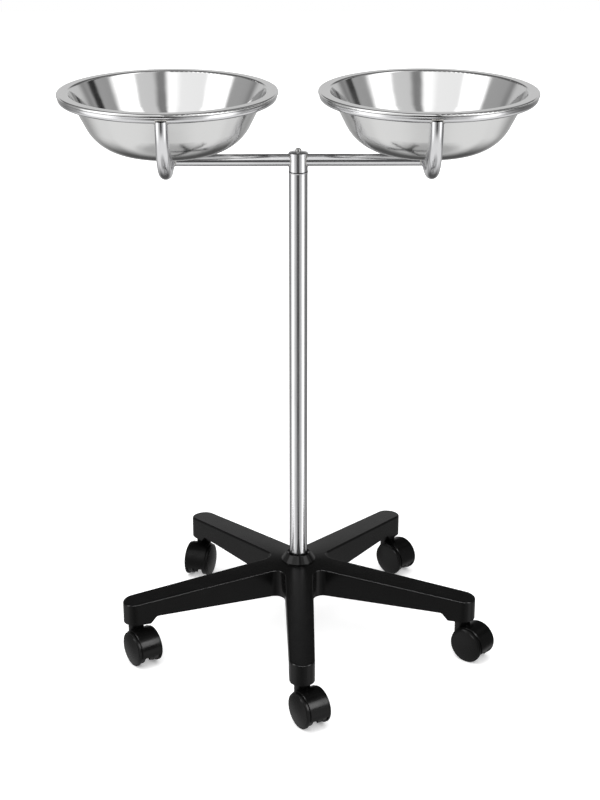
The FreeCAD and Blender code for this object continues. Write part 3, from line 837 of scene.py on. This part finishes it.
def closed_grid(rows, columns):
    """Four-cornered faces of a grid that closes on itself both ways, like a ring's skin.

    A point's number is its row times the number of columns, plus its column; the row
    after the last is the first again, and so with the columns.
    """
    row, column = np.meshgrid(np.arange(rows), np.arange(columns), indexing="ij")
    next_row, next_column = (row + 1) % rows, (column + 1) % columns
    corners = (row * columns + column, next_row * columns + column,
               next_row * columns + next_column, row * columns + next_column)
    return np.stack(corners, -1).reshape(-1, 4)


def full_turn(count):
    """Angles of a whole turn in even steps, in radians."""
    return np.arange(count) / count * 2 * math.pi


def bead_skin(line, outward, radius, ripples, swell=0.10, sides=14):
    """Skin of a weld bead: at each point of a closed line a circle across it.

    The circle is spanned by the outward direction and by the direction square to that
    and to the line. Its radius is the bead's, times one plus a small sine wave for the
    ripples and a slower one.
    """
    ahead = np.roll(line, -1, 0) - np.roll(line, 1, 0)
    ahead /= np.linalg.norm(ahead, axis=1)[:, None]
    up = outward - (outward * ahead).sum(1)[:, None] * ahead
    up /= np.linalg.norm(up, axis=1)[:, None]
    side = np.cross(ahead, up)
    along = full_turn(len(line))
    local = radius * (1 + swell * np.sin(along * ripples)
                      + SLOW_SWELL * np.sin(along * SLOW_WAVES + 1))
    around = full_turn(sides)
    circle = (np.cos(around)[None, :, None] * up[:, None, :]
              + np.sin(around)[None, :, None] * side[:, None, :])
    skin = line[:, None, :] + local[:, None, None] * circle
    return skin.reshape(-1, 3), closed_grid(len(line), sides)


print("bead helper ready")

# %% [markdown]
# A bead has cooled in the open air: it is duller, rougher and a little warmer in colour
# than the polished tubes. It could have a network of its own, but the steel helper takes
# colour, roughness and relief already.

# %% Weld finish
weld_steel = steel("weld_steel", upright_cross, take_z, colour=(0.52, 0.51, 0.49, 1.0),
                   roughness=(0.24, 0.42), relief=0.35)
print("weld steel ready")

# %% [markdown]
# Each crossbar is cut to a saddle at both ends, against the upright sleeve and against
# the yoke, which runs level and square to it. A curve could be drawn by hand round each
# end. The formula of two crossing cylinders gives the line exactly, for both ends alike.

# %% Crossbars welded to sleeve and yokes
BEAD_POINTS = 160
BEAD_RADIUS = 0.0009
YOKE_BEAD_RADIUS = 1.5 * BEAD_RADIUS
SADDLE_LEAN = 0.8         # of the way out of the corner along the bar, beside 1 across it


def saddle(at_x, facing, across_axis, other_radius):
    """Line where a crossbar meets a round tube, and the way out of the corner.

    Round the bar by an angle t, height is bar radius times sine t and depth bar radius
    times cosine t; the tube's surface is as far out as the root of its radius squared
    less the offset squared. The offset is the depth for an upright tube and the height
    for a level one.
    """
    turn = full_turn(BEAD_POINTS)
    depth, height = crossbar_radius * np.cos(turn), crossbar_radius * np.sin(turn)
    offset = depth if across_axis == "upright" else height
    reach = np.sqrt(other_radius ** 2 - offset ** 2)
    line = np.stack([at_x + facing * reach, axis.y + depth, crossbar_height + height], -1)
    out = np.stack([np.full(BEAD_POINTS, facing * SADDLE_LEAN), np.cos(turn), np.sin(turn)], -1)
    return line, out


for side, sign in (("left", -1), ("right", 1)):
    line, out = saddle(axis.x, sign, "upright", column_radius)
    skin = bead_skin(line, out, BEAD_RADIUS, ripples=40)
    new_piece(f"weld_sleeve_{side}", *skin, weld_steel)
    line, out = saddle(basin_centre[side].x, -sign, "level", yoke_radius)
    skin = bead_skin(line, out, YOKE_BEAD_RADIUS, ripples=34, swell=0.16)
    new_piece(f"weld_yoke_{side}", *skin, weld_steel)
print("welds on the crossbars")

# %% [markdown]
# A yoke's two legs stand upright under the ring's round bar and are welded to its
# underside. The leg is thicker than the bar, so the bead follows the bar's underside
# where the two overlap and stays at the bar's widest line where the leg reaches past it.

# %% Yoke legs welded to the rings
LEG_LEAN = 0.7            # of the way out of the corner down the leg, beside 1 across it


def leg_saddle(centre, way):
    """Line where a yoke's upright leg meets the ring's bar from below.

    Round the leg by an angle t, sideways is leg radius times cosine t and depth leg
    radius times sine t; the bar's underside at that depth is its middle less the root of
    the bar radius squared less depth squared, held at the bar's widest point.
    """
    turn = full_turn(BEAD_POINTS)
    x = centre.x + yoke_radius * np.cos(turn)
    y = centre.y + way * ring_radius + yoke_radius * np.sin(turn)
    from_middle = np.hypot(x - centre.x, y - centre.y) - ring_radius
    inside = np.clip(bar_radius ** 2 - from_middle ** 2, 0.0, None)
    line = np.stack([x, y, ring_height - np.sqrt(inside)], -1)
    out = np.stack([np.cos(turn), np.sin(turn), np.full(BEAD_POINTS, -LEG_LEAN)], -1)
    return line, out


for side in SIDES:
    for place, way in (("front", -1), ("back", 1)):
        line, out = leg_saddle(basin_centre[side], way)
        skin = bead_skin(line, out, BEAD_RADIUS, ripples=36, swell=0.14)
        new_piece(f"weld_ring_{side}_{place}", *skin, weld_steel)
print("welds under the rings")

# %% [markdown]
# ## The joint under the head
# The head sleeve stands on the column, and a hairline shows where one tube ends and the
# next begins. The column's own top edge is rolled a little and shines as a thin bright
# line below it. A groove could be cut into the tubes, but their shape is finished, so
# both lines are very thin rings that lie sunk in the steel: a dark one in the joint and a
# bright one just under it.

# %% Hairline and rolled edge
HAIRLINE = 0.0008         # radius of the dark ring's round section
ROLLED_EDGE = 0.0009      # the same for the bright ring
joint_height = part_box("head_sleeve")[0].z
joint_dark = steel("joint_dark", upright_cross, take_z, colour=grey(0.03),
                   roughness=(0.40, 0.60), relief=0.1)


def level_ring(name, height, section, material):
    """Thin ring in the column's skin, with a round section of the given radius.

    Its middle line is a level circle whose radius is the column's less half the section's.
    """
    turn = full_turn(BEAD_POINTS)
    outward = np.stack([np.cos(turn), np.sin(turn), np.zeros(BEAD_POINTS)], -1)
    line = np.array([axis.x, axis.y, height]) + (column_radius - section / 2) * outward
    skin = bead_skin(line, outward, section, ripples=9, swell=0.02, sides=10)
    new_piece(name, *skin, material)


level_ring("joint_hairline", joint_height, HAIRLINE, joint_dark)
edge_height = joint_height - HAIRLINE - ROLLED_EDGE
level_ring("column_rolled_edge", edge_height, ROLLED_EDGE, column_steel)
print("hairline and rolled edge under the head sleeve")
